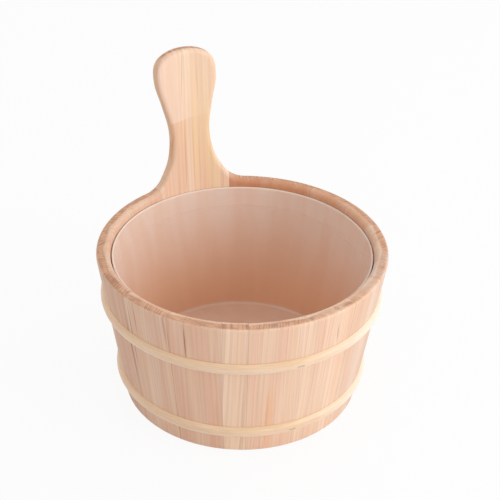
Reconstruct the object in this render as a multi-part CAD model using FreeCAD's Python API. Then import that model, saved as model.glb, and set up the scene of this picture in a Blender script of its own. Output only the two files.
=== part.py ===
import FreeCAD, Part

import math
import os

# A small coopered pail: tapered staves, two half-round hoops, a bottom let into a groove, one long stave
# shaped as the handle, and a loose plastic liner. Millimetres, +Z up. The origin is where the pail's axis
# meets the floor, and the handle stands at the back, on the +Y side.

# Pail body
pail_height = 136.4
base_radius = 102.1
wall_flare = 20.1
wall_thickness = 11.2
rim_outer_round = 2.8
rim_inner_round = 4.0
foot_round = 1.2

# Staves: the widths in degrees go anticlockwise from the handle's stave, and the last one closes the ring
handle_stave_angle = 34.8
handle_stave_shift = 1.2
stave_angles = [18.5, 18.0, 17.5, 17.5, 17.5, 20.9, 21.1, 10.1, 22.3, 21.9, 19.0, 21.0, 20.5, 18.5, 21.5, 19.5]

# Handle, seen from the front: heights above the rim, how far the knob stays inside its stave's edges at the
# rim, how much the neck is narrower on each side, and how far the foot sweeps on over the staves beside it
handle_height = 123.0
handle_neck_height = 46.0
handle_knob_inset = 8.34
handle_neck_inset = 9.9
handle_foot_sweep = 9.46
handle_lean_share = 0.026

# Points of the outline from the rim to the neck, as shares of the step out to the tail and of the neck's height
sweep_shares = [(0.8, 0.023), (0.589, 0.089), (0.371, 0.248), (0.149, 0.491), (0.044, 0.724), (0.0, 1.0)]
# Points from the neck to the knob, as shares of the step out to the knob and of the height above the neck
flare_shares = [(0.08, 0.134), (0.384, 0.317), (0.677, 0.468), (0.93, 0.596), (1.0, 0.7)]
# Points over the knob, as shares of its half width and of the height above the neck
crown_shares = [(0.972, 0.822), (0.872, 0.894), (0.674, 0.948), (0.355, 0.988)]

# Hoops: half-round strips, placed by their middles
hoop_width = 10.4
hoop_thickness = 3.8
lower_hoop_height = 22.7
upper_hoop_drop = 41.9

# Staples that pin the hoops' glued ends, as a direction round the pail
staple_direction = 270.1
staple_wire = 0.7
staple_crown = 5.6
staple_leg = 3.4
staple_proud = 0.15

# Bottom boards in the croze groove
board_thickness = 8.0
board_lift = 4.5
board_edge = 5.0
board_bevel_run = 4.0
board_side_gap = 0.3
croze_depth = 4.0
croze_end_gap = 0.2
middle_board_width = 76.0
board_turn = 24.0

# Loose liner
liner_wall = 1.6
liner_gap = 0.8
liner_lip_drop = 5.6
liner_shoulder_drop = 23.8
liner_step = 0.5
liner_corner = 2.5
liner_stand_gap = 0.3
lip_round_share = 0.45

# Everything that cuts runs past the wood by this much, and the blank for the handle past its staves
overrun = 5.0
overrun_angle = 1.0

# An edge belongs to a face that its middle lies this near to
edge_reach = 0.012

UP = FreeCAD.Vector(0, 0, 1)
ORIGIN = FreeCAD.Vector(0, 0, 0)
FULL_TURN = 360
handle_direction = 90.0
rim_radius = base_radius + wall_flare
taper = wall_flare / pail_height
top_height = pail_height + handle_height
handle_edge = rim_radius * math.sin(math.radians(handle_stave_angle / 2))
handle_knob_half_width = handle_edge - handle_knob_inset
handle_neck_half_width = handle_knob_half_width - handle_neck_inset
handle_tail_half_width = handle_edge + handle_foot_sweep


def outer_radius(z):
    return base_radius + taper * z


def inner_radius(z):
    return outer_radius(z) - wall_thickness


def vec(r, z):
    return FreeCAD.Vector(r, 0, z)


def turned(edges):
    """One solid of revolution about the pail's axis."""
    face = Part.Face(Part.Wire(edges))
    return face.revolve(ORIGIN, UP, FULL_TURN)


def polygon_edges(points):
    closed = points + points[:1]
    return [Part.LineSegment(a, b).toShape() for a, b in zip(closed, closed[1:])]


def sector(start, angle):
    """A wedge of the full height between two radial planes."""
    reach = rim_radius + handle_height
    wedge = Part.makeCylinder(reach, top_height + 3 * overrun, vec(0, -overrun), UP, angle)
    wedge.rotate(ORIGIN, UP, start)
    return wedge


def wall_blank(height):
    """The tapered wall, up to a height, with square edges."""
    corners = [vec(inner_radius(0), 0), vec(outer_radius(0), 0),
               vec(outer_radius(height), height), vec(inner_radius(height), height)]
    return turned(polygon_edges(corners))


def edge_distance(edge, radius_at):
    """How far the middle of an edge lies from one of the wall's two cones."""
    middle = edge.valueAt((edge.FirstParameter + edge.LastParameter) / 2)
    return abs(math.hypot(middle.x, middle.y) - radius_at(middle.z))


def round_edges(solid, radius, radius_at, low, high, span):
    """Rounds the edges that lie on one cone between two heights, away from the ends of the span."""
    chosen = []
    for edge in solid.Edges:
        middle = edge.valueAt((edge.FirstParameter + edge.LastParameter) / 2)
        turn = abs(math.degrees(math.atan2(middle.x, middle.y)))
        on_cone = edge_distance(edge, radius_at) < edge_reach
        if on_cone and low < middle.z < high and turn < span:
            chosen.append(edge)
    return solid.makeFillet(radius, chosen)


def round_blank(solid, span):
    """Rounds the rim, the handle where there is one, and the foot."""
    low = pail_height - rim_outer_round / 2
    high = top_height + overrun
    solid = round_edges(solid, rim_outer_round, outer_radius, low, high, span)
    solid = round_edges(solid, rim_inner_round, inner_radius, low, high, span)
    return round_edges(solid, foot_round, outer_radius, -foot_round, foot_round, span)


def handle_points():
    """The right half of the handle's outline, from the rim to just before the middle of the crown."""
    points = [(handle_tail_half_width, 0)]
    tail_step = handle_tail_half_width - handle_neck_half_width
    knob_step = handle_knob_half_width - handle_neck_half_width
    upper = handle_height - handle_neck_height
    for out_share, up_share in sweep_shares:
        points.append((handle_neck_half_width + out_share * tail_step, up_share * handle_neck_height))
    for out_share, up_share in flare_shares:
        points.append((handle_neck_half_width + out_share * knob_step, handle_neck_height + up_share * upper))
    for out_share, up_share in crown_shares:
        points.append((out_share * handle_knob_half_width, handle_neck_height + up_share * upper))
    return points


def handle_window():
    """A prism through the back wall: everything under the rim, and the handle's outline above it."""
    right = handle_points()
    left = [(-x, z) for x, z in reversed(right)]
    whole = right + [(0, handle_height)] + left
    path = []
    for x, z in whole:
        turn = handle_lean_share * z / handle_height
        path.append(FreeCAD.Vector(x - handle_height * turn, 0, pail_height + z + turn * x))
    outline = Part.BSplineCurve()
    along_rim = FreeCAD.Vector(-1, 0, 0)
    outline.interpolate(Points=path, InitialTangent=along_rim, FinalTangent=along_rim, Scale=False)
    side = rim_radius + overrun
    corners = [path[-1], vec(-side, pail_height), vec(-side, -overrun), vec(side, -overrun),
               vec(side, pail_height), path[0]]
    edges = [outline.toShape()]
    for a, b in zip(corners, corners[1:]):
        edges.append(Part.LineSegment(a, b).toShape())
    face = Part.Face(Part.Wire(Part.__sortEdges__(edges)))
    return face.extrude(FreeCAD.Vector(0, rim_radius + handle_height, 0))


def croze():
    """The ring cut out of the staves for the bottom's edge."""
    low = board_lift + board_thickness - board_edge
    depth = inner_radius(low) + croze_depth
    outer = Part.makeCylinder(depth, board_edge, vec(0, low))
    inner = Part.makeCylinder(inner_radius(low) - overrun, board_edge, vec(0, low))
    return outer.cut(inner)


def staves():
    """The handle's stave and the plain ones, each cut from its blank by two radial planes."""
    groove = croze()
    ring = round_blank(wall_blank(pail_height), FULL_TURN).cut(groove)
    widths = stave_angles + [FULL_TURN - handle_stave_angle - sum(stave_angles)]
    half = handle_stave_angle / 2
    span = half + handle_stave_shift + max(widths[0], widths[-1])
    blank_span = span + overrun_angle
    back = wall_blank(top_height + overrun).common(sector(handle_direction - blank_span, 2 * blank_span))
    back = back.common(handle_window())
    back = round_blank(back, (span + blank_span) / 2).cut(groove)
    start = handle_direction + handle_stave_shift - half
    pieces = {"handle_stave": back.common(sector(start, handle_stave_angle))}
    start += handle_stave_angle
    for number, width in enumerate(widths, 1):
        blank = back if number in (1, len(widths)) else ring
        pieces[f"stave_{number:02d}"] = blank.common(sector(start, width))
        start += width
    return pieces


def hoop(middle_height):
    """A half-round strip round the wall, its ends glued into a closed ring."""
    low = middle_height - hoop_width / 2
    high = middle_height + hoop_width / 2
    slope = math.atan(taper)
    crest = vec(outer_radius(middle_height) + hoop_thickness * math.cos(slope),
                middle_height - hoop_thickness * math.sin(slope))
    foot = vec(outer_radius(low), low)
    head = vec(outer_radius(high), high)
    return turned([Part.Arc(foot, crest, head).toShape(), Part.LineSegment(head, foot).toShape()])


def staple(middle_height):
    """A square-wire staple driven into a hoop, its crown a little proud of the wood."""
    slope = math.atan(taper)
    face = outer_radius(middle_height) + hoop_thickness * math.cos(slope) + staple_proud
    low = middle_height - hoop_thickness * math.sin(slope) - staple_wire / 2
    half = staple_crown / 2
    crown = Part.makeBox(staple_wire, staple_crown, staple_wire, FreeCAD.Vector(face - staple_wire, -half, low))
    legs = []
    for side in (-half, half - staple_wire):
        corner = FreeCAD.Vector(face - staple_leg, side, low)
        legs.append(Part.makeBox(staple_leg, staple_wire, staple_wire, corner))
    wire = crown.multiFuse(legs).removeSplitter()
    wire.rotate(ORIGIN, UP, staple_direction)
    return wire


def bottom_boards():
    """The bottom, bevelled underneath to enter the groove, and sawn into three boards."""
    low = board_lift
    high = board_lift + board_thickness
    shoulder = high - board_edge
    edge_radius = inner_radius(shoulder) + croze_depth - croze_end_gap
    bevel_radius = inner_radius(shoulder) - board_side_gap
    section = [vec(0, low), vec(bevel_radius - board_bevel_run, low), vec(bevel_radius, shoulder),
               vec(edge_radius, shoulder), vec(edge_radius, high), vec(0, high)]
    disc = turned(polygon_edges(section))
    reach = rim_radius
    names = {"bottom_board_left": (-reach, -middle_board_width / 2),
             "bottom_board_middle": (-middle_board_width / 2, middle_board_width / 2),
             "bottom_board_right": (middle_board_width / 2, reach)}
    boards = {}
    for name, (left, right) in names.items():
        plank = Part.makeBox(right - left, 2 * reach, pail_height, FreeCAD.Vector(left, -reach, 0))
        plank.rotate(ORIGIN, UP, board_turn)
        boards[name] = disc.common(plank)
    return boards


def liner_shell(offset, floor):
    """The liner's outer or inner face as a solid plug, from its floor up past its lip."""
    shoulder = pail_height - liner_shoulder_drop
    lip = pail_height - liner_lip_drop
    corner = liner_corner + liner_wall - offset
    foot_radius = inner_radius(floor) - liner_gap - offset
    top_radius = inner_radius(lip) - liner_gap - offset
    band_radius = inner_radius(shoulder) - liner_gap - offset
    body_radius = band_radius - liner_step
    points = [vec(0, floor), vec(foot_radius, floor), vec(body_radius, shoulder - liner_step),
              vec(band_radius, shoulder), vec(top_radius, lip), vec(0, lip)]
    plug = turned(polygon_edges(points))
    bottom = [e for e in plug.Edges if e.Closed and abs(e.CenterOfMass.z - floor) < edge_reach]
    return plug.makeFillet(corner, bottom)


def liner():
    """A thin tapered cup with a shoulder, standing on the bottom boards."""
    floor = board_lift + board_thickness + liner_stand_gap
    cup = liner_shell(0, floor).cut(liner_shell(liner_wall, floor + liner_wall))
    lip = pail_height - liner_lip_drop
    rim = [e for e in cup.Edges if e.Closed and abs(e.CenterOfMass.z - lip) < edge_reach]
    return cup.makeFillet(lip_round_share * liner_wall, rim)


def save(node, solids):
    shape = solids[0] if len(solids) == 1 else Part.makeCompound(solids)
    shape.exportStep(f"parts/{node}.step")
    volume = sum(s.Volume for s in solids)
    print(f"{node}: {len(solids)} solid(s), {volume / 1000:.2f} cm3, valid {shape.isValid()}")


def only_solid(shape):
    """The one solid of a cut piece."""
    if len(shape.Solids) != 1:
        raise ValueError(f"expected one solid and got {len(shape.Solids)}")
    return shape.Solids[0]


def main():
    os.makedirs("parts", exist_ok=True)
    for node, shape in staves().items():
        save(node, [only_solid(shape)])
    heights = {"upper_hoop": pail_height - upper_hoop_drop, "lower_hoop": lower_hoop_height}
    pins = [only_solid(staple(height)) for height in heights.values()]
    for (node, height), pin in zip(heights.items(), pins):
        save(node, [only_solid(hoop(height).cut(pin))])
    save("hoop_staples", pins)
    for node, shape in bottom_boards().items():
        save(node, [only_solid(shape)])
    save("liner", [only_solid(liner())])


main()
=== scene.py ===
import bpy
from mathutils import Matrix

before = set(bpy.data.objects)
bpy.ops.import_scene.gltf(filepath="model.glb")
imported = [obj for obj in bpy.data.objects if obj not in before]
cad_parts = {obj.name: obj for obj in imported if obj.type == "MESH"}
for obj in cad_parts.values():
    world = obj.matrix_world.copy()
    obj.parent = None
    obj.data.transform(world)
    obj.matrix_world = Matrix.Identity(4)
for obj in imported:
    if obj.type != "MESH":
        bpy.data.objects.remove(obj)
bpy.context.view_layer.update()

import math
from collections import namedtuple

import bpy
from mathutils import Matrix, Vector

bl_info = {
    "name": "Coopered pail with a stave handle",
    "version": (1, 0, 0),
    "blender": (4, 5, 0),
    "location": "3D Viewport > Sidebar > Pail",
    "description": "Dresses the coopered pail in bare softwood, with its milky liner, and sets up its stage",
    "category": "Object",
}

MM = 0.001


def screen(red, green, blue):
    """A colour as a screen shows it, from 0 to 255, turned into the linear numbers that shaders take."""
    shares = (red / 255, green / 255, blue / 255)
    return tuple(s / 12.92 if s <= 0.04045 else ((s + 0.055) / 1.055) ** 2.4 for s in shares)


Wall = namedtuple("Wall", "foot_radius taper rim_height")
Lay = namedtuple("Lay", "direction half_angle")

# A plain stave, away from the handle, whose outer corners give the wall's outside. Its foot is taken from
# the lowest share of its height.
SAMPLE_STAVE = "stave_04"
FOOT_SHARE = 1 / 20


def top_of(node):
    """The height of a node's highest point."""
    return max(v.co.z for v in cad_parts[node].data.vertices)


def from_axis(point):
    """How far a point is from the pail's axis."""
    return math.hypot(point.x, point.y)


def measure_wall():
    """The outside of the wall as a cone: its radius at the floor, how far it widens for each step up, and
    the height of its rim."""
    points = [v.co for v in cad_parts[SAMPLE_STAVE].data.vertices]
    rim_height = top_of(SAMPLE_STAVE)
    low = max((p for p in points if p.z < rim_height * FOOT_SHARE), key=from_axis)
    high = max((p for p in points if p.z > rim_height / 2), key=from_axis)
    taper = (from_axis(high) - from_axis(low)) / (high.z - low.z)
    return Wall(from_axis(low) - taper * low.z, taper, rim_height)


def measure_stave(node):
    """The direction of a stave's middle and half the angle it takes up, in radians."""
    points = [v.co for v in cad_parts[node].data.vertices]
    middle = sum((Vector((p.x, p.y)).normalized() for p in points), Vector((0, 0)))
    toward = math.atan2(middle.y, middle.x)
    turns = [(math.atan2(p.y, p.x) - toward + math.pi) % (2 * math.pi) - math.pi for p in points]
    low, high = min(turns), max(turns)
    return Lay(toward + (low + high) / 2, (high - low) / 2)


WALL = measure_wall()
PLAIN_STAVES = sorted(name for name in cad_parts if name.startswith("stave_"))
BOTTOM_BOARDS = sorted(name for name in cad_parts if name.startswith("bottom_board"))
HOOPS = ("upper_hoop", "lower_hoop")
HOOP_TOPS = tuple(top_of(name) for name in HOOPS)

# The boards that the staves were sawn from. pink: from cream at 0 to pink at 1. rings: how strongly the
# growth rings show. ring_width in millimetres. heart_out and heart_side: where the tree's heart lay from the
# middle of the stave's outer face, in millimetres. slant: how far the grain runs sideways for each step up.
# shade: the board's own lightness.
Board = namedtuple("Board", "pink rings ring_width heart_out heart_side slant shade")

BOARDS = {
    "handle_stave": Board(0.12, 0.28, 4.6, -30, 190, 0.020, 1.08),
    "stave_01": Board(0.40, 0.39, 2.9, -60, 120, 0.012, 0.98),
    "stave_02": Board(0.25, 0.36, 3.3, 30, -140, -0.010, 0.98),
    "stave_03": Board(0.60, 0.42, 2.7, -90, 90, 0.015, 0.95),
    "stave_04": Board(0.45, 0.39, 3.1, -50, -150, 0.005, 0.95),
    "stave_05": Board(0.85, 0.81, 2.6, -80, 110, -0.020, 0.91),
    "stave_06": Board(0.50, 0.32, 2.4, -40, 160, -0.012, 0.97),
    "stave_07": Board(0.75, 0.40, 3.3, -95, 25, -0.010, 0.99),
    "stave_08": Board(0.00, 0.55, 4.1, -30, 170, -0.030, 1.06),
    "stave_09": Board(0.45, 0.34, 2.3, -60, -140, 0.008, 1.03),
    "stave_10": Board(0.22, 0.24, 2.5, 40, -130, 0.010, 1.02),
    "stave_11": Board(0.25, 0.24, 3.4, -70, 120, 0.012, 0.95),
    "stave_12": Board(0.35, 0.24, 3.0, -50, -150, -0.008, 0.89),
    "stave_13": Board(0.40, 0.32, 3.1, -80, 100, 0.010, 0.95),
    "stave_14": Board(0.55, 0.39, 2.7, 30, 140, -0.012, 0.98),
    "stave_15": Board(0.50, 0.39, 3.0, -60, -130, 0.008, 0.95),
    "stave_16": Board(0.70, 0.42, 2.8, -90, 80, -0.010, 0.87),
    "stave_17": Board(0.80, 0.39, 3.1, -50, 140, 0.012, 0.86),
}

# Marks in the wood, and a few of painted shade and painted reflection, in millimetres. side: from the middle
# of the stave, to the right as seen from outside.
# height: of the mark's middle above the floor, or for a mark on the rim how far in from the outer edge.
# slant: how far it runs sideways for each step up. tone: as a screen shows it. face: a wall mark goes right
# through the stave, a rim mark is on its end grain alone and an inside mark on its inner side alone.
Mark = namedtuple("Mark", "stave side height width length slant tone strength face")

MARKS = [
    Mark("handle_stave", -5.0, 190, 5.5, 150, -0.018, (244, 206, 156), 0.32, "wall"),
    Mark("handle_stave", -13.0, 190, 9.0, 150, -0.010, (240, 212, 172), 0.45, "wall"),
    Mark("handle_stave", 4.2, 238, 0.9, 50, -0.074, (214, 170, 132), 0.55, "wall"),
    Mark("handle_stave", -9.6, 236, 0.8, 50, 0.000, (214, 168, 120), 0.50, "wall"),
    Mark("handle_stave", 16.8, 176, 1.8, 42, -0.150, (216, 142, 88), 0.60, "wall"),
    Mark("handle_stave", 5.7, 165, 1.1, 66, -0.032, (212, 146, 100), 0.55, "wall"),
    Mark("handle_stave", -2.0, 160, 1.0, 60, -0.020, (224, 160, 106), 0.50, "wall"),
    Mark("handle_stave", -7.5, 160, 1.1, 64, -0.020, (222, 160, 104), 0.50, "wall"),
    Mark("handle_stave", -18.0, 172, 1.8, 56, 0.024, (216, 168, 108), 0.50, "wall"),
    # Painted shade with warm reflected light on the back of the inner wall near the rim, on staves 17 to 14.
    Mark("stave_17", 17.0, 128, 14.0, 34, 0.000, (214, 124, 72), 0.80, "inside"),
    Mark("stave_17", 0.0, 131, 90.0, 34, 0.000, (200, 132, 90), 0.85, "inside"),
    Mark("stave_16", 0.0, 132, 90.0, 34, 0.000, (204, 138, 94), 0.80, "inside"),
    Mark("stave_15", 0.0, 132, 90.0, 34, 0.000, (208, 144, 100), 0.70, "inside"),
    Mark("stave_14", 0.0, 132, 70.0, 32, 0.000, (212, 152, 108), 0.50, "inside"),
    Mark("handle_stave", -16.0, 158, 30.0, 110, 0.000, (240, 210, 162), 0.50, "inside"),
    Mark("stave_01", 17.0, 5, 9.0, 7, 0.000, (190, 120, 84), 0.45, "rim"),
    Mark("stave_05", -3.9, 4, 24.0, 10, 0.000, (150, 92, 66), 0.42, "rim"),
    Mark("stave_05", 15.2, 88, 3.4, 120, 0.000, (160, 96, 78), 0.75, "wall"),
    Mark("stave_06", -18.0, 92, 1.8, 70, 0.000, (156, 104, 88), 0.60, "wall"),
    Mark("stave_06", -11.0, 118, 1.9, 56, 0.000, (146, 104, 86), 0.80, "wall"),
    Mark("stave_06", 19.6, 124, 2.4, 44, 0.000, (188, 126, 108), 0.55, "wall"),
    Mark("stave_07", -21.4, 106, 2.0, 70, 0.000, (186, 122, 104), 0.55, "wall"),
    Mark("stave_07", -7.0, 116, 1.8, 44, 0.000, (166, 102, 88), 0.85, "wall"),
    Mark("stave_09", -2.0, 34, 8.0, 104, 0.000, (238, 178, 134), 0.48, "wall"),
    Mark("stave_09", -4.6, 38, 1.4, 90, 0.000, (216, 148, 104), 0.55, "wall"),
    Mark("stave_09", -2.9, 4.5, 8.0, 5, 0.000, (138, 130, 142), 0.60, "rim"),
    Mark("stave_10", 0.0, 4.5, 60.0, 16, 0.000, (242, 208, 178), 0.42, "rim"),
    Mark("stave_11", -6.0, 4.5, 60.0, 16, 0.000, (238, 202, 170), 0.36, "rim"),
    # Painted reflection of the white floor: a greyish veil over the far right walls of stave_11 and
    # stave_12.
    Mark("stave_11", 10.0, 70, 60.0, 240, 0.000, (222, 206, 198), 0.24, "wall"),
    Mark("stave_12", 0.0, 70, 80.0, 240, 0.000, (220, 206, 200), 0.32, "wall"),
    Mark("stave_10", -18.5, 5, 6.0, 6, 0.000, (140, 104, 90), 0.50, "rim"),
    Mark("stave_10", 5.6, 5.3, 6.0, 5, 0.000, (160, 116, 98), 0.60, "rim"),
    Mark("stave_10", 5.6, 5.3, 1.5, 1.5, 0.000, (252, 232, 212), 0.85, "rim"),
    Mark("stave_10", 16.5, 4.5, 13.0, 4, 0.000, (156, 106, 80), 0.60, "rim"),
    Mark("stave_10", 7.3, 114, 1.0, 22, -0.060, (156, 108, 90), 0.75, "wall"),
    Mark("stave_10", -6.7, 116, 2.2, 44, 0.000, (226, 160, 116), 0.40, "wall"),
    Mark("stave_14", -12.5, 7, 5.0, 5, 0.000, (150, 130, 132), 0.55, "rim"),
]


# Where the colours are among the sockets of the node that mixes them.
MIX_FIRST = 6
MIX_SECOND = 7
MIX_RESULT = 2


class Recipe:
    """One node tree, with short words for the nodes that the finishes are mixed from."""

    def __init__(self, tree):
        self.tree = tree
        tree.nodes.clear()

    def add(self, kind, **settings):
        """A new node with these settings."""
        node = self.tree.nodes.new(kind)
        for name, value in settings.items():
            setattr(node, name, value)
        return node

    def feed(self, socket, value):
        """Joins a socket to another node's output, or gives it a plain value."""
        if isinstance(value, bpy.types.NodeSocket):
            self.tree.links.new(value, socket)
            return
        if isinstance(value, tuple) and len(value) == 3 and socket.type == "RGBA":
            value = (*value, 1.0)
        socket.default_value = value

    def work(self, operation, *values):
        """One step of arithmetic."""
        node = self.add("ShaderNodeMath", operation=operation)
        for socket, value in zip(node.inputs, values):
            self.feed(socket, value)
        return node.outputs[0]

    def between(self, value, low, high, bottom=0.0, top=1.0):
        """Rises softly from bottom to top while the value goes from low to high."""
        node = self.add("ShaderNodeMapRange", interpolation_type="SMOOTHSTEP")
        for socket, given in zip(node.inputs, (value, low, high, bottom, top)):
            self.feed(socket, given)
        return node.outputs[0]

    def colour(self, amount, first, second, how="MIX"):
        """Lays the second colour over the first."""
        node = self.add("ShaderNodeMix", data_type="RGBA", blend_type=how)
        self.feed(node.inputs[0], amount)
        self.feed(node.inputs[MIX_FIRST], first)
        self.feed(node.inputs[MIX_SECOND], second)
        return node.outputs[MIX_RESULT]

    def lighten(self, colour, factor):
        """Multiplies a colour by one number."""
        grey = self.add("ShaderNodeCombineColor")
        for socket in grey.inputs:
            self.feed(socket, factor)
        return self.colour(1.0, colour, grey.outputs[0], how="MULTIPLY")

    def place(self, x, y, z):
        """A place made of three numbers."""
        node = self.add("ShaderNodeCombineXYZ")
        for socket, value in zip(node.inputs, (x, y, z)):
            self.feed(socket, value)
        return node.outputs[0]

    def parts(self, vector):
        """The three numbers of a place."""
        node = self.add("ShaderNodeSeparateXYZ")
        self.feed(node.inputs[0], vector)
        return node.outputs

    def scaled(self, numbers, scales):
        """A place made of three numbers, each times its own scale."""
        return self.place(*[self.work("MULTIPLY", number, scale) for number, scale in zip(numbers, scales)])

    def length(self, first, second):
        """How far it is to a place that lies this far along two directions at right angles."""
        square = self.work("MULTIPLY_ADD", first, first, self.work("MULTIPLY", second, second))
        return self.work("SQRT", square)

    def turned_back(self, vector, direction):
        """The three numbers of a place, once the pail is turned so that this direction lies along x."""
        node = self.add("ShaderNodeVectorRotate", rotation_type="Z_AXIS")
        self.feed(node.inputs["Vector"], vector)
        node.inputs["Angle"].default_value = -direction
        return self.parts(node.outputs[0])

    def noise(self, vector, detail=2.0, w=None):
        """Soft noise from 0 to 1, with a grain of one unit of the place given. w is its fourth number."""
        node = self.add("ShaderNodeTexNoise", noise_dimensions="3D" if w is None else "4D")
        self.feed(node.inputs["Vector"], vector)
        node.inputs["Scale"].default_value = 1.0
        node.inputs["Detail"].default_value = detail
        if w is not None:
            self.feed(node.inputs["W"], w)
        return node.outputs[0]


def new_material(name):
    """An empty material and the recipe that fills it."""
    material = bpy.data.materials.new(name)
    material.use_nodes = True
    return material, Recipe(material.node_tree)


BUMP_STRENGTH = 0.6


def finish_material(recipe, colour, roughness, height, depth, strength=BUMP_STRENGTH):
    """The surface shader, with a bump this deep in metres, joined to the material's output."""
    surface = recipe.add("ShaderNodeBsdfPrincipled")
    recipe.feed(surface.inputs["Base Color"], colour)
    recipe.feed(surface.inputs["Roughness"], roughness)
    bump = recipe.add("ShaderNodeBump")
    bump.inputs["Strength"].default_value = strength
    bump.inputs["Distance"].default_value = depth
    recipe.feed(bump.inputs["Height"], height)
    recipe.feed(surface.inputs["Normal"], bump.outputs[0])
    output = recipe.add("ShaderNodeOutputMaterial")
    recipe.feed(output.inputs["Surface"], surface.outputs[0])
    return surface


def dress(node, material):
    """Gives a node of the frame its finish."""
    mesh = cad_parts[node].data
    mesh.materials.clear()
    mesh.materials.append(material)
    for face in mesh.polygons:
        face.material_index = 0


# A layer of soft noise in a board. across and along: waves per metre across the grain and along it. low and
# high: the noise at which the layer starts to show and at which it shows in full.
Layer = namedtuple("Layer", "across along detail low high")

FADING = Layer(110.0, 11.0, 2.0, 0.35, 0.60)
STREAKS = Layer(320.0, 4.0, 2.0, 0.30, 0.70)
PATCHES = Layer(75.0, 6.0, 3.0, 0.32, 0.68)
FIBRES = Layer(620.0, 7.0, 3.0, 0.3, 0.7)

# The growth rings. They wander by RING_SWAY, with the fineness and detail of RING_WANDER, and are up to
# YEAR_SPREAD rings out of step, changing over a few years. In each year the dark part rises slowly and ends
# quickly, and some years are fainter than others.
RING_WANDER = (30.0, 7.0, 2.0)
RING_SWAY = 8 * MM
YEAR_SPREAD = 2.4
YEAR_CHANGE = 0.45
RING_RISE = (0.35, 0.86)
RING_END = (0.90, 1.0)
YEAR_SEED = 3.3
YEAR_SPAN = (0.35, 0.66)
FAINTEST_YEAR = 0.22
FAINTEST_STRETCH = 0.45


def grain_group():
    """The growth rings, broad streaks, cloudy patches and fibres of a softwood board, from a place in it:
    outwards, sideways and along the grain."""
    name = "softwood grain"
    if name in bpy.data.node_groups:
        return bpy.data.node_groups[name]
    tree = bpy.data.node_groups.new(name, "ShaderNodeTree")
    tree.interface.new_socket(name="Place", in_out="INPUT", socket_type="NodeSocketVector")
    for label in ("Heart out", "Heart side", "Ring width", "Seed"):
        tree.interface.new_socket(name=label, in_out="INPUT", socket_type="NodeSocketFloat")
    for label in ("Ring", "Streak", "Patch", "Fibre"):
        tree.interface.new_socket(name=label, in_out="OUTPUT", socket_type="NodeSocketFloat")
    recipe = Recipe(tree)
    given = recipe.add("NodeGroupInput").outputs
    out, side, along = recipe.parts(given["Place"])
    seed = given["Seed"]

    def drawn_out(fineness, length, detail):
        """Noise this fine across the grain and along it."""
        place = recipe.place(recipe.work("MULTIPLY", out, fineness), recipe.work("MULTIPLY", side, fineness),
                             recipe.work("MULTIPLY_ADD", along, length, seed))
        return recipe.noise(place, detail)

    def show(layer, bottom=0.0):
        """A layer's strength, from bottom to 1."""
        noise = drawn_out(layer.across, layer.along, layer.detail)
        return recipe.between(noise, layer.low, layer.high, bottom, 1.0)

    wander = recipe.work("MULTIPLY", recipe.work("SUBTRACT", drawn_out(*RING_WANDER), 0.5), RING_SWAY)
    away_out = recipe.work("SUBTRACT", out, given["Heart out"])
    away_side = recipe.work("SUBTRACT", side, given["Heart side"])
    distance = recipe.work("ADD", recipe.length(away_out, away_side), wander)
    count = recipe.work("DIVIDE", distance, given["Ring width"])
    years = recipe.place(recipe.work("MULTIPLY", count, YEAR_CHANGE), seed, 0.0)
    uneven = recipe.work("MULTIPLY", recipe.work("SUBTRACT", recipe.noise(years, 1.0), 0.5), YEAR_SPREAD)
    count = recipe.work("ADD", count, uneven)
    share = recipe.work("FRACT", count)
    rise = recipe.between(share, *RING_RISE)
    fall = recipe.between(share, *RING_END, 1.0, 0.0)
    year = recipe.noise(recipe.place(recipe.work("FLOOR", count), seed, YEAR_SEED), 1.0)
    strong = recipe.between(year, *YEAR_SPAN, FAINTEST_YEAR, 1.0)
    strong = recipe.work("MULTIPLY", strong, show(FADING, FAINTEST_STRETCH))
    ring = recipe.work("MULTIPLY", recipe.work("MULTIPLY", rise, fall), strong)

    result = recipe.add("NodeGroupOutput")
    recipe.feed(result.inputs["Ring"], ring)
    recipe.feed(result.inputs["Streak"], show(STREAKS))
    recipe.feed(result.inputs["Patch"], show(PATCHES))
    recipe.feed(result.inputs["Fibre"], show(FIBRES))
    return tree


def grain(recipe, place, board, seed):
    """The grain of one board, as rings, streaks, patches and fibres from 0 to 1."""
    node = recipe.add("ShaderNodeGroup", node_tree=grain_group())
    recipe.feed(node.inputs["Place"], place)
    node.inputs["Heart out"].default_value = board.heart_out * MM
    node.inputs["Heart side"].default_value = board.heart_side * MM
    node.inputs["Ring width"].default_value = board.ring_width * MM
    node.inputs["Seed"].default_value = seed
    return [node.outputs[label] for label in ("Ring", "Streak", "Patch", "Fibre")]


# A mark's edge is broken up by the wood's patches, and fades over this span of its half width. A mark on the
# wall's inner side starts this far in from its outer face.
MARK_RAGGED = 0.7
MARK_FADE = (0.5, 1.5)
INNER_SIDE = (-8 * MM, -6 * MM)


def lay_mark(recipe, colour, mark, side, depth, up, end, patch):
    """Lays one mark with a ragged edge over a stave's colour: most are the wood's own, a few are painted
    shade and painted reflection.
    """
    if mark.face == "rim":
        along = recipe.work("ADD", depth, mark.height * MM)
        straight = side
    else:
        along = recipe.work("SUBTRACT", up, mark.height * MM)
        straight = recipe.work("MULTIPLY_ADD", along, -mark.slant, side)
    across = recipe.work("SUBTRACT", straight, mark.side * MM)
    reach = recipe.length(recipe.work("DIVIDE", across, mark.width * MM / 2),
                          recipe.work("DIVIDE", along, mark.length * MM / 2))
    ragged = recipe.work("MULTIPLY_ADD", patch, MARK_RAGGED, reach)
    shown = recipe.between(ragged, *MARK_FADE, mark.strength, 0.0)
    if mark.face == "rim":
        shown = recipe.work("MULTIPLY", shown, end)
    if mark.face == "inside":
        shown = recipe.work("MULTIPLY", shown, recipe.between(depth, *INNER_SIDE, 1.0, 0.0))
    return recipe.colour(shown, colour, screen(*mark.tone))


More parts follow.
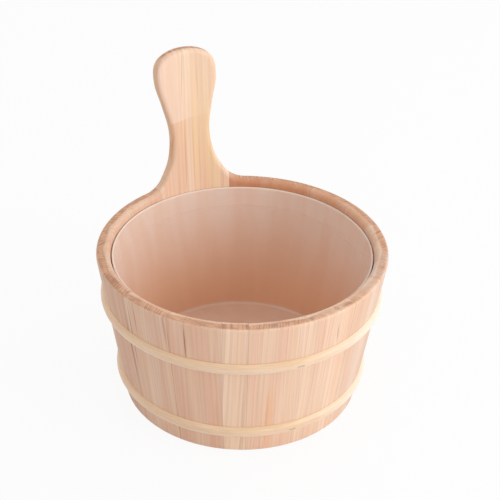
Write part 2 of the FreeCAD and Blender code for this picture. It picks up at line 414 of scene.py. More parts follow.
# The bare wood. How pink a spot is comes from its patch and from its board. Shares are from 0 to 1. In these
# lists a pair is where something starts and where it is in full, or the two shades that something gives.
SEED_STEP = 7.31
PINK_BY_PATCH = 0.60
PINK_BY_BOARD = 0.8
PINK_START = -0.08
HONEY_SHARE = 0.36
FIBRE_SHADES = (0.95, 1.04)
RING_GLOSS = 0.1
FIBRE_RELIEF = 0.35
RING_RELIEF = 0.5
WOOD_BUMP = 0.12 * MM

# The end grain, on faces that look up, as far as the rim's inner round.
END_FACING = (0.60, 0.92)
END_REACH = (-8.4 * MM, -6.6 * MM)
END_RING_WIDTH = 0.6
END_RING_SHARE = 0.55
END_RING_BY_BOARD = 0.4
BLOTCH_FINENESS = (260.0, 130.0)
BLOTCH_SPAN = (0.40, 0.68)
BLOTCH_SHARE = 0.60
SPECKLE_FINENESS = (1300.0, 1300.0)
SPECKLE_SPAN = (0.3, 0.7)
SPECKLE_SHADES = (0.90, 1.07)

# The glue line at each edge of a stave, and painted shade in the crevice along each hoop's upper edge, on
# the wall's outer side alone.
GLUE_SHARES = (0.16, 0.44)
OUTER_SIDE = (-4 * MM, -2 * MM)
CREVICE_SHADE_REACH = (0.2 * MM, 1.2 * MM)
CREVICE_SHADE_SHARE = 0.35


def stave_wood(node, look):
    """The bare softwood of one stave: its rings, end grain and glue lines, and its own marks, some of them
    painted shade and painted reflection. Painted shade runs along the hoops, and the handle gets its painted
    light and shade.
    """
    board = BOARDS[node]
    lay = measure_stave(node)
    seed = SEED_STEP * (sorted(BOARDS).index(node) + 1)
    material, recipe = new_material(node.replace("_", " ") + " wood")
    where = recipe.add("ShaderNodeTexCoord").outputs
    out, side, up = recipe.turned_back(where["Object"], lay.direction)
    face_out, face_side, face_up = recipe.turned_back(where["Normal"], lay.direction)

    wall_here = recipe.work("MULTIPLY_ADD", up, WALL.taper, WALL.foot_radius)
    depth = recipe.work("SUBTRACT", out, wall_here)
    straight = recipe.work("MULTIPLY_ADD", up, board.slant, side)
    ring, streak, patch, fibre = grain(recipe, recipe.place(depth, straight, up), board, seed)

    cloudy = recipe.work("MULTIPLY_ADD", patch, PINK_BY_PATCH, board.pink * PINK_BY_BOARD + PINK_START)
    pale = recipe.colour(cloudy, look.cream_tone[:], look.pink_tone[:])
    pale = recipe.colour(recipe.work("MULTIPLY", streak, HONEY_SHARE), pale, look.honey_tone[:])
    dark = recipe.colour(board.pink, look.brown_ring_tone[:], look.ring_tone[:])
    face = recipe.colour(recipe.work("MULTIPLY", ring, board.rings * look.ring_strength), pale, dark)
    shades = [shade * board.shade for shade in FIBRE_SHADES]
    face = recipe.lighten(face, recipe.between(fibre, 0.0, 1.0, *shades))

    end = recipe.work("MULTIPLY", recipe.between(face_up, *END_FACING), recipe.between(depth, *END_REACH))
    colour = recipe.colour(end, face, end_grain(recipe, look, board, ring, depth, side, seed))
    if node == "handle_stave":
        colour = handle_light_and_shade(recipe, colour, look, side, up, face_out, face_side)
    for mark in MARKS:
        if mark.stave == node:
            colour = lay_mark(recipe, colour, mark, side, depth, up, end, patch)

    turn = recipe.work("ABSOLUTE", recipe.work("ARCTAN2", side, out))
    to_joint = recipe.work("MULTIPLY", recipe.work("SUBTRACT", lay.half_angle, turn), out)
    glue = recipe.between(to_joint, 0.0, look.joint_line * MM, 1.0, 0.0)
    glue_share = recipe.work("MULTIPLY", glue, recipe.between(patch, 0.0, 1.0, *GLUE_SHARES))
    colour = recipe.colour(glue_share, colour, look.joint_tone[:])
    # Painted shade in the crevice where each hoop's upper edge meets the staves.
    for hoop_top in HOOP_TOPS:
        above = recipe.work("ABSOLUTE", recipe.work("SUBTRACT", up, hoop_top))
        crevice_shade = recipe.between(above, *CREVICE_SHADE_REACH, CREVICE_SHADE_SHARE, 0.0)
        crevice_shade = recipe.work("MULTIPLY", crevice_shade, recipe.between(depth, *OUTER_SIDE))
        colour = recipe.colour(crevice_shade, colour, look.crevice_shade_tone[:])

    rough = recipe.between(ring, 0.0, 1.0, look.roughness, look.roughness - RING_GLOSS)
    relief = recipe.work("MULTIPLY_ADD", fibre, FIBRE_RELIEF, recipe.work("MULTIPLY", ring, RING_RELIEF))
    finish_material(recipe, colour, rough, recipe.work("SUBTRACT", relief, glue), WOOD_BUMP)
    return material


def end_grain(recipe, look, board, ring, depth, side, seed):
    """The wood where it is cut across: stronger rings, duller blotches and fine speckles."""
    def noise(fineness):
        """Noise on the cut face, this fine inwards and sideways."""
        across, along = [recipe.work("MULTIPLY", way, waves) for way, waves in zip((depth, side), fineness)]
        return recipe.noise(recipe.place(across, along, seed))

    share = END_RING_SHARE + END_RING_BY_BOARD * board.rings
    rings = recipe.work("MULTIPLY", recipe.work("POWER", ring, END_RING_WIDTH), share)
    colour = recipe.colour(rings, look.end_tone[:], look.end_ring_tone[:])
    blotch = recipe.between(noise(BLOTCH_FINENESS), *BLOTCH_SPAN, 0.0, BLOTCH_SHARE)
    colour = recipe.colour(blotch, colour, look.end_blotch_tone[:])
    speckle = recipe.between(noise(SPECKLE_FINENESS), *SPECKLE_SPAN, *SPECKLE_SHADES)
    return recipe.lighten(colour, speckle)


# The handle's inner face, with painted light on its planed field, painted shade just under the field's line
# and painted shade on its rounded edge. EDGE_SHADE_FACING: how far a face looks sideways at the rounded
# edge. INNER_FACING: how far it looks inwards on the planed side. PLANED_SIDES: from the yellower side of
# the planed field to the paler one.
# PLANED_SLOPE: how far its line falls for each step to the right, as seen from outside. FAINT_SIDE: where
# the field is faintest and where it is in full, as shares of the way between its sides. The other reaches
# are measured from its line.
EDGE_SHADE_FACING = (0.25, 0.75)
EDGE_SHADE_SHARE = 0.40
INNER_FACING = (-0.9, -0.6)
PLANED_SIDES = (-24 * MM, 22 * MM)
PLANED_SLOPE = 0.166
PLANED_LINE = (-1.2 * MM, 1.2 * MM)
PLANED_FADE = (4 * MM, 50 * MM)
PLANED_LIGHT_SHARES = (0.48, 0.38)
FAINT_SIDE = (0.1, 0.6)
FAINTEST_SIDE = 0.45
RUN_OUT_SHADE_REACH = (-60 * MM, 0.0)
RUN_OUT_SHADE_SHARE = 0.24


def handle_light_and_shade(recipe, colour, look, side, up, face_out, face_side):
    """The handle's inner face is planed in two steps. Painted light makes a paler field above a soft,
    slightly sloping line that fades towards one side, and painted shade lies just under that line. Painted
    shade darkens the rounded edge on the other side."""
    # Painted shade on the rounded edge that looks sideways.
    edge = recipe.between(face_side, *EDGE_SHADE_FACING)
    colour = recipe.colour(recipe.work("MULTIPLY", edge, EDGE_SHADE_SHARE), colour, look.edge_shade_tone[:])
    # Painted light on the planed field above its line, fading away from the line and towards one side.
    inner = recipe.between(face_out, *INNER_FACING, 1.0, 0.0)
    across = recipe.between(side, *PLANED_SIDES)
    above = recipe.work("SUBTRACT", up, WALL.rim_height + look.planed_height * MM)
    above = recipe.work("MULTIPLY_ADD", side, PLANED_SLOPE, above)
    over = recipe.between(above, *PLANED_LINE)
    fading = recipe.between(above, *PLANED_FADE, *PLANED_LIGHT_SHARES)
    upper = recipe.work("MULTIPLY", recipe.work("MULTIPLY", over, fading), inner)
    upper = recipe.work("MULTIPLY", upper, recipe.between(across, *FAINT_SIDE, FAINTEST_SIDE, 1.0))
    # Painted shade just under the line, where the turned face runs out, fading downwards.
    under = recipe.work("MULTIPLY", recipe.between(above, *RUN_OUT_SHADE_REACH), inner)
    under = recipe.work("MULTIPLY", under, recipe.work("SUBTRACT", 1.0, over))
    field = recipe.colour(across, look.planed_honey_lit_tone[:], look.planed_lit_field_tone[:])
    colour = recipe.colour(upper, colour, field)
    return recipe.colour(recipe.work("MULTIPLY", under, RUN_OUT_SHADE_SHARE), colour, look.warm_tone[:])


# The grain of a hoop's strip runs round the pail and sways up and down by HOOP_SWAY. Each layer is this fine
# across the strip, in waves per metre, and changes this much on the way round. The darker stretch, painted
# shade on the side away from the main lamp, and the lighter stretch opposite it, painted light, are given by
# the cosine of the turn from the darker one's middle. The painted warm bounce light on the upper edge and
# the painted light on the lower half
# are given by a facing: how far up a face looks.
HOOP_SWAY = 1.6 * MM
HOOP_BANDS = Layer(420.0, 2.0, 2.0, 0.35, 0.65)
HOOP_FIBRES = Layer(1500.0, 9.0, 3.0, 0.3, 0.7)
HOOP_CLOUDS = Layer(60.0, 3.0, 2.0, 0.3, 0.7)
HOOP_BAND_SHARE = 0.45
PAINTED_SHADE_STRETCH = (0.2, 1.0)
PAINTED_SHADE_STRETCH_SHARE = 0.35
PAINTED_LIGHT_STRETCH = (-1.0, -0.1)
PAINTED_LIGHT_STRETCH_SHARE = 0.8
UPPER_BOUNCE_FACING = (0.1, 0.9)
UPPER_BOUNCE_SHARE = 0.34
LOWER_LIGHT_FACING = (-0.8, 0.1)
LOWER_LIGHT_SHARE = 0.5
HOOP_SHADES = (0.96, 1.02)
HOOP_GLOSS_CHANGE = 0.05
HOOP_BUMP = 0.06 * MM


def hoop_wood(look):
    """The pale, close-grained strip of a hoop, whose grain runs round the pail, with painted light and shade
    on it by its side and by its facing.
    """
    material, recipe = new_material("hoop wood")
    where = recipe.add("ShaderNodeTexCoord").outputs
    x, y, z = recipe.parts(where["Object"])
    turn = recipe.work("ARCTAN2", y, x)
    round_x = recipe.work("COSINE", turn)
    round_y = recipe.work("SINE", turn)
    radius = recipe.length(x, y)
    height = recipe.work("ADD", z, recipe.work("MULTIPLY", round_y, HOOP_SWAY))

    def show(layer):
        """A layer of noise that closes on itself round the pail."""
        place = recipe.place(recipe.work("MULTIPLY", radius, layer.across),
                             recipe.work("MULTIPLY", height, layer.across),
                             recipe.work("MULTIPLY", round_x, layer.along))
        noise = recipe.noise(place, layer.detail, recipe.work("MULTIPLY", round_y, layer.along))
        return recipe.between(noise, layer.low, layer.high)

    fibre = show(HOOP_FIBRES)
    colour = recipe.colour(show(HOOP_CLOUDS), look.pale_tone[:], look.warm_tone[:])
    bands = recipe.work("MULTIPLY", show(HOOP_BANDS), HOOP_BAND_SHARE)
    colour = recipe.colour(bands, colour, look.grain_tone[:])
    # Painted shade on the side away from the main lamp, and painted light on the side toward it.
    toward = recipe.work("COSINE", recipe.work("SUBTRACT", turn, look.shaded_side_at))
    darker = recipe.between(toward, *PAINTED_SHADE_STRETCH, 0.0, PAINTED_SHADE_STRETCH_SHARE)
    lighter = recipe.between(toward, *PAINTED_LIGHT_STRETCH, PAINTED_LIGHT_STRETCH_SHARE, 0.0)
    # Painted warm bounce light on the upper edge and painted light on the lower half, by how far up a face
    # looks.
    face_up = recipe.parts(where["Normal"])[2]
    upper = recipe.between(face_up, *UPPER_BOUNCE_FACING, 0.0, UPPER_BOUNCE_SHARE)
    lower = recipe.between(face_up, *LOWER_LIGHT_FACING, LOWER_LIGHT_SHARE, 0.0)
    for share, laid in ((darker, look.end_tone), (lighter, look.lit_stretch_tone),
                        (upper, look.upper_bounce_tone), (lower, look.lower_lit_tone)):
        colour = recipe.colour(share, colour, laid[:])
    colour = recipe.lighten(colour, recipe.between(fibre, 0.0, 1.0, *HOOP_SHADES))
    glossiest = look.roughness - HOOP_GLOSS_CHANGE
    dullest = look.roughness + HOOP_GLOSS_CHANGE
    rough = recipe.between(fibre, 0.0, 1.0, glossiest, dullest)
    finish_material(recipe, colour, rough, fibre, HOOP_BUMP)
    return material


# The bottom boards are sawn from one straight-grained board and lie at this angle in the pail.
BOTTOM_TURN = math.radians(24)
BOTTOM_BOARD = Board(pink=0.6, rings=0.7, ring_width=3.4, heart_out=-45, heart_side=12, slant=0.0, shade=1.0)
BOTTOM_SEED = 3.7
BOTTOM_SHADES = (0.92, 1.0)
BOTTOM_FIBRE_RELIEF = 0.4


def board_wood(look):
    """The bottom boards' planed softwood, with the grain along each board."""
    material, recipe = new_material("bottom board wood")
    where = recipe.add("ShaderNodeTexCoord").outputs
    across, along, up = recipe.turned_back(where["Object"], BOTTOM_TURN)
    ring, _, patch, fibre = grain(recipe, recipe.place(up, across, along), BOTTOM_BOARD, BOTTOM_SEED)
    pinkness = recipe.work("MULTIPLY", patch, BOTTOM_BOARD.pink)
    colour = recipe.colour(pinkness, look.cream_tone[:], look.pink_tone[:])
    colour = recipe.colour(recipe.work("MULTIPLY", ring, BOTTOM_BOARD.rings), colour, look.ring_tone[:])
    colour = recipe.lighten(colour, recipe.between(fibre, 0.0, 1.0, *BOTTOM_SHADES))
    rough = recipe.between(ring, 0.0, 1.0, look.roughness, look.roughness - RING_GLOSS)
    relief = recipe.work("ADD", recipe.work("MULTIPLY", fibre, BOTTOM_FIBRE_RELIEF), ring)
    finish_material(recipe, colour, rough, relief, WOOD_BUMP)
    return material


# The liner's plastic. Finenesses are in waves per metre, in x, y and z. DEEP_SHADE_REACH, for the painted
# shade and warm reflected light deep in the liner, is in shares of the lip's height, FLOOR_REACH is above
# the pail's foot,
# LIP_HIGHLIGHT_BAND, for the painted highlight on the lip, is below the lip and STEP_SHADE_REACH, for the
# painted shade at the step, is from its step.
# OUTER_FACING: how far a face looks away from the pail's axis, times its distance from that axis.
WOOD_BEHIND_FINENESS = (75.0, 75.0, 3.0)
WOOD_BEHIND_SPAN = (0.35, 0.65)
WOOD_BEHIND_SHARE = 0.30
SKIN_FINENESS = (700.0, 700.0, 700.0)
DEEP_SHADE_REACH = (0.15, 0.95)
FLOOR_REACH = (15.5 * MM, 19 * MM)
FLOOR_SHARE = 0.9
OUTER_FACING = (0.0, 0.02)
UNDERSIDE_FACING = (-0.9, -0.5)
OUTER_SHARE = 0.8
LIP_HIGHLIGHT_BAND = (1.6 * MM, 0.9 * MM)
LIP_HIGHLIGHT_SHARE = 0.5
STEP_SHADE_REACH = (0.3 * MM, 1.0 * MM)
STEP_SHADE_SHARE = 0.38
STREAK_DULLNESS = 0.08
PLASTIC_BUMP = 0.03 * MM
PLASTIC_BUMP_STRENGTH = 0.4


def milky_plastic(look):
    """Thin milky plastic over wood: painted shade with warm reflected light where it lies deep, soft upright
    streaks of the staves behind it, a painted highlight along the lip, painted shade along its step and a
    whiter outside."""
    material, recipe = new_material("milky liner plastic")
    lip = top_of("liner")
    where = recipe.add("ShaderNodeTexCoord").outputs
    x, y, z = recipe.parts(where["Object"])
    streak = recipe.between(recipe.noise(recipe.scaled((x, y, z), WOOD_BEHIND_FINENESS)), *WOOD_BEHIND_SPAN)
    skin = recipe.noise(recipe.scaled((x, y, z), SKIN_FINENESS))
    # Painted shade with warm reflected light, stronger deeper in the liner.
    deep = recipe.between(z, *[share * lip for share in DEEP_SHADE_REACH], 1.0, 0.0)
    colour = recipe.colour(deep, look.milky_tone[:], look.deep_shade_tone[:])
    colour = recipe.colour(recipe.between(z, *FLOOR_REACH, FLOOR_SHARE, 0.0), colour, look.floor_tone[:])
    colour = recipe.colour(recipe.work("MULTIPLY", streak, WOOD_BEHIND_SHARE), colour, look.warm_tone[:])

    face_x, face_y, face_up = recipe.parts(where["Normal"])
    outward = recipe.work("MULTIPLY_ADD", face_x, x, recipe.work("MULTIPLY", face_y, y))
    outside = recipe.work("MAXIMUM", recipe.between(outward, *OUTER_FACING),
                          recipe.between(face_up, *UNDERSIDE_FACING, 1.0, 0.0))
    colour = recipe.colour(recipe.work("MULTIPLY", outside, OUTER_SHARE), colour, look.outer_tone[:])
    # A painted highlight along the lip.
    edge = recipe.between(z, *[lip - drop for drop in LIP_HIGHLIGHT_BAND], 0.0, LIP_HIGHLIGHT_SHARE)
    colour = recipe.colour(edge, colour, look.lip_highlight_tone[:])
    # Painted shade along the step, which dulls the step's own highlight.
    from_step = recipe.work("ABSOLUTE", recipe.work("SUBTRACT", z, lip - look.step_drop * MM))
    step = recipe.between(from_step, *STEP_SHADE_REACH, STEP_SHADE_SHARE, 0.0)
    colour = recipe.colour(step, colour, look.step_shade_tone[:])
    rough = recipe.between(streak, 0.0, 1.0, look.roughness, look.roughness + STREAK_DULLNESS)
    surface = finish_material(recipe, colour, rough, skin, PLASTIC_BUMP, PLASTIC_BUMP_STRENGTH)
    surface.inputs["Alpha"].default_value = look.cover
    return material


# The staples' wire, whose fine lines run along x.
WIRE_FINENESS = (300.0, 2500.0, 4000.0)
WIRE_DARK = screen(172, 148, 122)
WIRE_LIGHT = screen(206, 180, 150)
WIRE_SPAN = (0.3, 0.7)
WIRE_ROUGHNESS = (0.35, 0.5)
WIRE_METAL = 0.6
WIRE_BUMP = 0.02 * MM


def staple_steel():
    """Dull drawn wire with fine lines."""
    material, recipe = new_material("staple steel")
    where = recipe.add("ShaderNodeTexCoord").outputs
    lines = recipe.noise(recipe.scaled(recipe.parts(where["Object"]), WIRE_FINENESS), 3.0)
    colour = recipe.colour(lines, WIRE_DARK, WIRE_LIGHT)
    rough = recipe.between(lines, *WIRE_SPAN, *WIRE_ROUGHNESS)
    surface = finish_material(recipe, colour, rough, lines, WIRE_BUMP)
    surface.inputs["Metallic"].default_value = WIRE_METAL
    return material


def tone(name, description, red, green, blue):
    """A colour that a user can change, with its default as a screen shows it."""
    return bpy.props.FloatVectorProperty(name=name, description=description,
                                         default=screen(red, green, blue),
                                         subtype="COLOR", size=3, min=0.0, max=1.0)


class StaveLook(bpy.types.PropertyGroup):
    """The bare wood of the staves and the bottom."""
    cream_tone: tone("Cream wood", "The palest of the boards", 237, 208, 184)
    pink_tone: tone("Pink wood", "The pinkest of the boards", 227, 181, 157)
    honey_tone: tone("Honey streaks", "The yellower streaks along the grain", 232, 192, 150)
    ring_tone: tone("Rings", "The dark part of each ring in the pink boards", 190, 126, 104)
    brown_ring_tone: tone("Brown rings", "The dark part of each ring in the cream boards", 184, 146, 114)
    end_tone: tone("End grain", "The rim and the top of the handle", 220, 170, 136)
    end_ring_tone: tone("End grain rings", "The rings where the wood is cut across", 150, 94, 68)
    end_blotch_tone: tone("End grain blotches", "The duller patches of the rim", 182, 134, 102)
    joint_tone: tone("Glue line", "The line where two staves meet", 150, 104, 82)
    # Painted shade in the crevice along each hoop's upper edge.
    crevice_shade_tone: tone("Hoop line", "The line on the staves along each hoop", 196, 132, 88)
    # Painted light: the planed field's two tones. Painted shade: the handle's darker edge and the warm shade
    # under the field.
    planed_lit_field_tone: tone("Planed field", "The paler upper field of the handle's inner face", 248, 222, 204)
    planed_honey_lit_tone: tone("Planed field, yellow side", "Where the planed field is yellower", 244, 214, 172)
    edge_shade_tone: tone("Handle's edge", "The darker rounded edge of the handle", 206, 160, 118)
    warm_tone: tone("Warm shade", "The warmer wood under the planed field", 234, 186, 138)
    ring_strength: bpy.props.FloatProperty(name="Ring strength", description="How strongly the rings show",
                                           default=0.9, min=0.0, max=1.0, subtype="FACTOR")
    joint_line: bpy.props.FloatProperty(name="Glue line width",
                                        description="Width of the line at each stave's edge, in millimetres",
                                        default=0.55, min=0.1, max=2.0)
    planed_height: bpy.props.FloatProperty(name="Planed field from",
                                           description="Its height above the rim, in millimetres",
                                           default=62.5, min=20.0, max=110.0)
    roughness: bpy.props.FloatProperty(name="Roughness", description="How dull the bare wood is",
                                       default=0.62, min=0.1, max=1.0, subtype="FACTOR")


class HoopLook(bpy.types.PropertyGroup):
    """The rounded strips round the pail."""
    pale_tone: tone("Pale strip", "The lighter wood of the hoops", 241, 213, 187)
    warm_tone: tone("Warm strip", "The warmer wood of the hoops", 236, 204, 172)
    grain_tone: tone("Grain", "The close grain along the hoops", 222, 182, 144)
    # The darker stretch is painted shade, the lighter stretch painted light, the upper edge painted warm
    # bounce light and the lower half painted light.
    end_tone: tone("Darker stretch", "Where the strip's wood is pinker and darker", 230, 188, 156)
    lit_stretch_tone: tone("Lighter stretch", "The palest wood, opposite the darker stretch", 249, 236, 225)
    shaded_side_at: bpy.props.FloatProperty(name="Darker stretch at", description="Its direction round the pail",
                                      default=math.radians(175), subtype="ANGLE")
    upper_bounce_tone: tone("Upper edge", "The yellower upper edge of each hoop", 240, 208, 160)
    lower_lit_tone: tone("Lower edge", "The paler lower half of each hoop", 242, 214, 192)
    roughness: bpy.props.FloatProperty(name="Roughness", description="How dull the hoops are",
                                       default=0.30, min=0.1, max=1.0, subtype="FACTOR")


class LinerLook(bpy.types.PropertyGroup):
    """The milky plastic liner."""
    milky_tone: tone("Milky plastic", "The liner near its lip", 243, 219, 204)
    # Painted shade with warm reflected light, deep in the liner.
    deep_shade_tone: tone("Deep plastic", "The liner near its floor, with more wood behind it", 244, 196, 162)
    outer_tone: tone("Outside", "The liner's outside, which only shows when it is lifted out", 240, 230, 220)
    floor_tone: tone("Floor plastic", "The liner's floor", 240, 208, 188)
    warm_tone: tone("Streaks", "Where the wood behind shows through more", 236, 190, 158)
    # Painted shade along the step.
    step_shade_tone: tone("Step", "The fine step under the lip's band", 214, 168, 142)
    step_drop: bpy.props.FloatProperty(name="Step below the lip", description="In millimetres",
                                       default=18.4, min=0.0, max=60.0)
    # A painted highlight along the lip.
    lip_highlight_tone: tone("Lip", "The edge of the lip, where the plastic is seen end on", 255, 238, 226)
    cover: bpy.props.FloatProperty(name="Cover", description="How much each face hides of what is behind it",
                                   default=0.88, min=0.05, max=1.0, subtype="FACTOR")
    roughness: bpy.props.FloatProperty(name="Roughness", description="How dull the liner is",
                                       default=0.34, min=0.05, max=1.0, subtype="FACTOR")


class StageLook(bpy.types.PropertyGroup):
    """The floor, the light and the camera."""
    floor_size: bpy.props.FloatProperty(name="Floor size", description="Side of the square floor",
                                        default=12.0, min=2.0, max=50.0, unit="LENGTH")
    floor_white: bpy.props.FloatProperty(name="Floor whiteness",
                                         description="Share of white that the camera sees in the floor",
                                         default=0.90, min=0.0, max=1.0, subtype="FACTOR")
    room_light: bpy.props.FloatProperty(name="Room light", description="Strength of the light all round",
                                        default=0.79, min=0.0, max=3.0)
    key_power: bpy.props.FloatProperty(name="Main lamp", description="Power of the large soft lamp",
                                       default=10.1, min=0.0, max=500.0, unit="POWER")
    fill_power: bpy.props.FloatProperty(name="Side lamp", description="Power of the weaker lamp",
                                        default=3.0, min=0.0, max=500.0, unit="POWER")
    camera_place: bpy.props.FloatVectorProperty(name="Camera", description="Where the camera stands",
                                                default=(-0.3326, -0.7843, 0.6650),
                                                subtype="XYZ", unit="LENGTH")
    azimuth: bpy.props.FloatProperty(name="Azimuth", description="The way the camera faces, round the pail",
                                     default=math.radians(-23.4), subtype="ANGLE")
    tilt: bpy.props.FloatProperty(name="Tilt", description="How far the camera looks down",
                                  default=math.radians(32.09), subtype="ANGLE")
    roll: bpy.props.FloatProperty(name="Roll", description="How far the camera leans",
                                  default=math.radians(1.114), subtype="ANGLE")
    lens: bpy.props.FloatProperty(name="Lens", description="Focal length on a 36 mm frame",
                                  default=86.4, min=10.0, max=500.0, unit="CAMERA")


class PAIL_OT_dress_staves(bpy.types.Operator):
    """Give each plain stave its own board of softwood"""
    bl_idname = "pail.dress_staves"
    bl_label = "Dress the staves"

    def execute(self, context):
        for node in PLAIN_STAVES:
            dress(node, stave_wood(node, context.scene.pail_staves))
        return {"FINISHED"}


class PAIL_OT_dress_handle(bpy.types.Operator):
    """Give the long handle stave its wood, with the painted light and shade of the planed field on its inner
    face
    """
    bl_idname = "pail.dress_handle"
    bl_label = "Dress the handle stave"

    def execute(self, context):
        dress("handle_stave", stave_wood("handle_stave", context.scene.pail_staves))
        return {"FINISHED"}


class PAIL_OT_dress_hoops(bpy.types.Operator):
    """Give both hoops their pale, close-grained strip wood"""
    bl_idname = "pail.dress_hoops"
    bl_label = "Dress the hoops"

    def execute(self, context):
        wood = hoop_wood(context.scene.pail_hoops)
        for node in HOOPS:
            dress(node, wood)
        return {"FINISHED"}


class PAIL_OT_dress_staples(bpy.types.Operator):
    """Give the hoops' staples their dull steel"""
    bl_idname = "pail.dress_staples"
    bl_label = "Dress the staples"

    def execute(self, context):
        dress("hoop_staples", staple_steel())
        return {"FINISHED"}


class PAIL_OT_dress_bottom(bpy.types.Operator):
    """Give the bottom boards their planed softwood"""
    bl_idname = "pail.dress_bottom"
    bl_label = "Dress the bottom boards"

    def execute(self, context):
        wood = board_wood(context.scene.pail_staves)
        for node in BOTTOM_BOARDS:
            dress(node, wood)
        return {"FINISHED"}


class PAIL_OT_dress_liner(bpy.types.Operator):
    """Give the loose liner its milky plastic"""
    bl_idname = "pail.dress_liner"
    bl_label = "Dress the liner"

    def execute(self, context):
        dress("liner", milky_plastic(context.scene.pail_liner))
        return {"FINISHED"}


class PAIL_OT_set_stage(bpy.types.Operator):
    """Set up the floor, the soft light and the camera"""
    bl_idname = "pail.set_stage"
    bl_label = "Set the stage"

    def execute(self, context):
        look = context.scene.pail_stage
        lay_floor(look)
        light_room(context.scene, look)
        hang_lamp("main lamp", MAIN_LAMP_PLACE, look.key_power)
        hang_lamp("side lamp", SIDE_LAMP_PLACE, look.fill_power)
        stand_camera(context.scene, look)
        context.scene.view_settings.view_transform = "Standard"
        return {"FINISHED"}


# The stage, in metres. A lamp's place is as the camera sees it: right, away and up. FRAME_WIDTH is that of
# the camera's film, in millimetres, as the lens is.
MAIN_LAMP_PLACE = (1.36, -0.64, 0.62)
SIDE_LAMP_PLACE = (1.14, 0.66, 0.99)
LAMP_SIZE = 1.0
LAMP_COLOUR = (1.0, 0.99, 0.975)
WHITE = (1.0, 1.0, 1.0)
FLOOR_GREY = (0.86, 0.86, 0.86)
FRAME_WIDTH = 36.0


def white_to_the_eye(recipe):
    """1 for rays from the camera, also by way of glossy and clear surfaces, and 0 for all others."""
    path = recipe.add("ShaderNodeLightPath").outputs
    seen = recipe.work("MAXIMUM", path["Is Camera Ray"], path["Is Glossy Ray"])
    return recipe.work("MAXIMUM", seen, path["Is Transmission Ray"])


def lay_floor(look):
    """A large pale floor that looks white and keeps a faint shadow."""
    half = look.floor_size / 2
    mesh = bpy.data.meshes.new("floor")
    corners = [(-half, -half, 0), (half, -half, 0), (half, half, 0), (-half, half, 0)]
    mesh.from_pydata(corners, [], [(0, 1, 2, 3)])
    floor = bpy.data.objects.new("floor", mesh)
    bpy.context.scene.collection.objects.link(floor)
    material, recipe = new_material("pale floor")
    matt = recipe.add("ShaderNodeBsdfDiffuse")
    recipe.feed(matt.inputs["Color"], FLOOR_GREY)
    glow = recipe.add("ShaderNodeEmission")
    recipe.feed(glow.inputs["Color"], WHITE)
    both = recipe.add("ShaderNodeMixShader")
    recipe.feed(both.inputs[0], recipe.work("MULTIPLY", white_to_the_eye(recipe), look.floor_white))
    recipe.feed(both.inputs[1], matt.outputs[0])
    recipe.feed(both.inputs[2], glow.outputs[0])
    output = recipe.add("ShaderNodeOutputMaterial")
    recipe.feed(output.inputs["Surface"], both.outputs[0])
    mesh.materials.append(material)
    return floor


def light_room(scene, look):
    """Even light all round, which the camera sees as plain white."""
    world = bpy.data.worlds.new("room")
    world.use_nodes = True
    scene.world = world
    recipe = Recipe(world.node_tree)
    light = recipe.add("ShaderNodeBackground")
    recipe.feed(light.inputs["Color"], WHITE)
    light.inputs["Strength"].default_value = look.room_light
    white = recipe.add("ShaderNodeBackground")
    recipe.feed(white.inputs["Color"], WHITE)
    both = recipe.add("ShaderNodeMixShader")
    recipe.feed(both.inputs[0], white_to_the_eye(recipe))
    recipe.feed(both.inputs[1], light.outputs[0])
    recipe.feed(both.inputs[2], white.outputs[0])
    output = recipe.add("ShaderNodeOutputWorld")
    recipe.feed(output.inputs["Surface"], both.outputs[0])


def hang_lamp(name, place, power):
    """A square soft lamp aimed at the middle of the wall's height."""
    lamp = bpy.data.lights.new(name, "AREA")
    lamp.shape = "SQUARE"
    lamp.size = LAMP_SIZE
    lamp.energy = power
    lamp.color = LAMP_COLOUR
    holder = bpy.data.objects.new(name, lamp)
    bpy.context.scene.collection.objects.link(holder)
    holder.location = Matrix.Rotation(bpy.context.scene.pail_stage.azimuth, 3, "Z") @ Vector(place)
    aim = Vector((0, 0, WALL.rim_height / 2)) - holder.location
    holder.rotation_euler = aim.to_track_quat("-Z", "Y").to_euler()


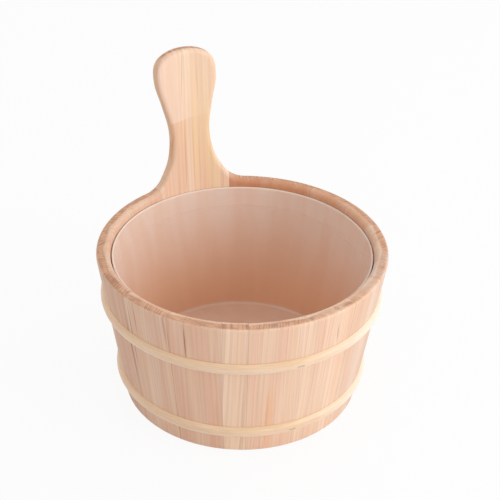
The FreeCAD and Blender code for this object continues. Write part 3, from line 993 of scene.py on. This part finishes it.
def stand_camera(scene, look):
    """The camera where the photograph was taken from."""
    data = bpy.data.cameras.new("camera")
    data.sensor_width = FRAME_WIDTH
    data.lens = look.lens
    camera = bpy.data.objects.new("camera", data)
    scene.collection.objects.link(camera)
    turn = Matrix.Rotation(look.azimuth, 4, "Z") @ Matrix.Rotation(math.pi / 2 - look.tilt, 4, "X")
    turn = turn @ Matrix.Rotation(look.roll, 4, "Z")
    camera.matrix_world = Matrix.Translation(Vector(look.camera_place)) @ turn
    scene.camera = camera


class PAIL_PT_sidebar(bpy.types.Panel):
    """Lists the settings and the steps that dress the pail"""
    bl_idname = "PAIL_PT_sidebar"
    bl_label = "Pail"
    bl_space_type = "VIEW_3D"
    bl_region_type = "UI"
    bl_category = "Pail"

    def draw(self, context):
        for title, group, steps in SIDEBAR:
            box = self.layout.box()
            box.label(text=title)
            look = getattr(context.scene, group)
            for name in look.__annotations__:
                box.prop(look, name)
            for step in steps:
                box.operator(step.bl_idname)


SIDEBAR = (
    ("Staves and bottom", "pail_staves", (PAIL_OT_dress_staves, PAIL_OT_dress_handle, PAIL_OT_dress_bottom)),
    ("Hoops", "pail_hoops", (PAIL_OT_dress_hoops, PAIL_OT_dress_staples)),
    ("Liner", "pail_liner", (PAIL_OT_dress_liner,)),
    ("Stage", "pail_stage", (PAIL_OT_set_stage,)),
)
LOOKS = {"pail_staves": StaveLook, "pail_hoops": HoopLook, "pail_liner": LinerLook, "pail_stage": StageLook}
STEPS = tuple(step for _, _, steps in SIDEBAR for step in steps)


def register():
    for look in LOOKS.values():
        bpy.utils.register_class(look)
    for step in STEPS:
        bpy.utils.register_class(step)
    bpy.utils.register_class(PAIL_PT_sidebar)
    for name, look in LOOKS.items():
        setattr(bpy.types.Scene, name, bpy.props.PointerProperty(type=look))


def unregister():
    for name in LOOKS:
        delattr(bpy.types.Scene, name)
    bpy.utils.unregister_class(PAIL_PT_sidebar)
    for step in reversed(STEPS):
        bpy.utils.unregister_class(step)
    for look in reversed(list(LOOKS.values())):
        bpy.utils.unregister_class(look)


def main():
    register()
    bpy.ops.pail.dress_staves()
    bpy.ops.pail.dress_handle()
    bpy.ops.pail.dress_bottom()
    bpy.ops.pail.dress_hoops()
    bpy.ops.pail.dress_staples()
    bpy.ops.pail.dress_liner()
    bpy.ops.pail.set_stage()


if __name__ == "__main__":
    main()
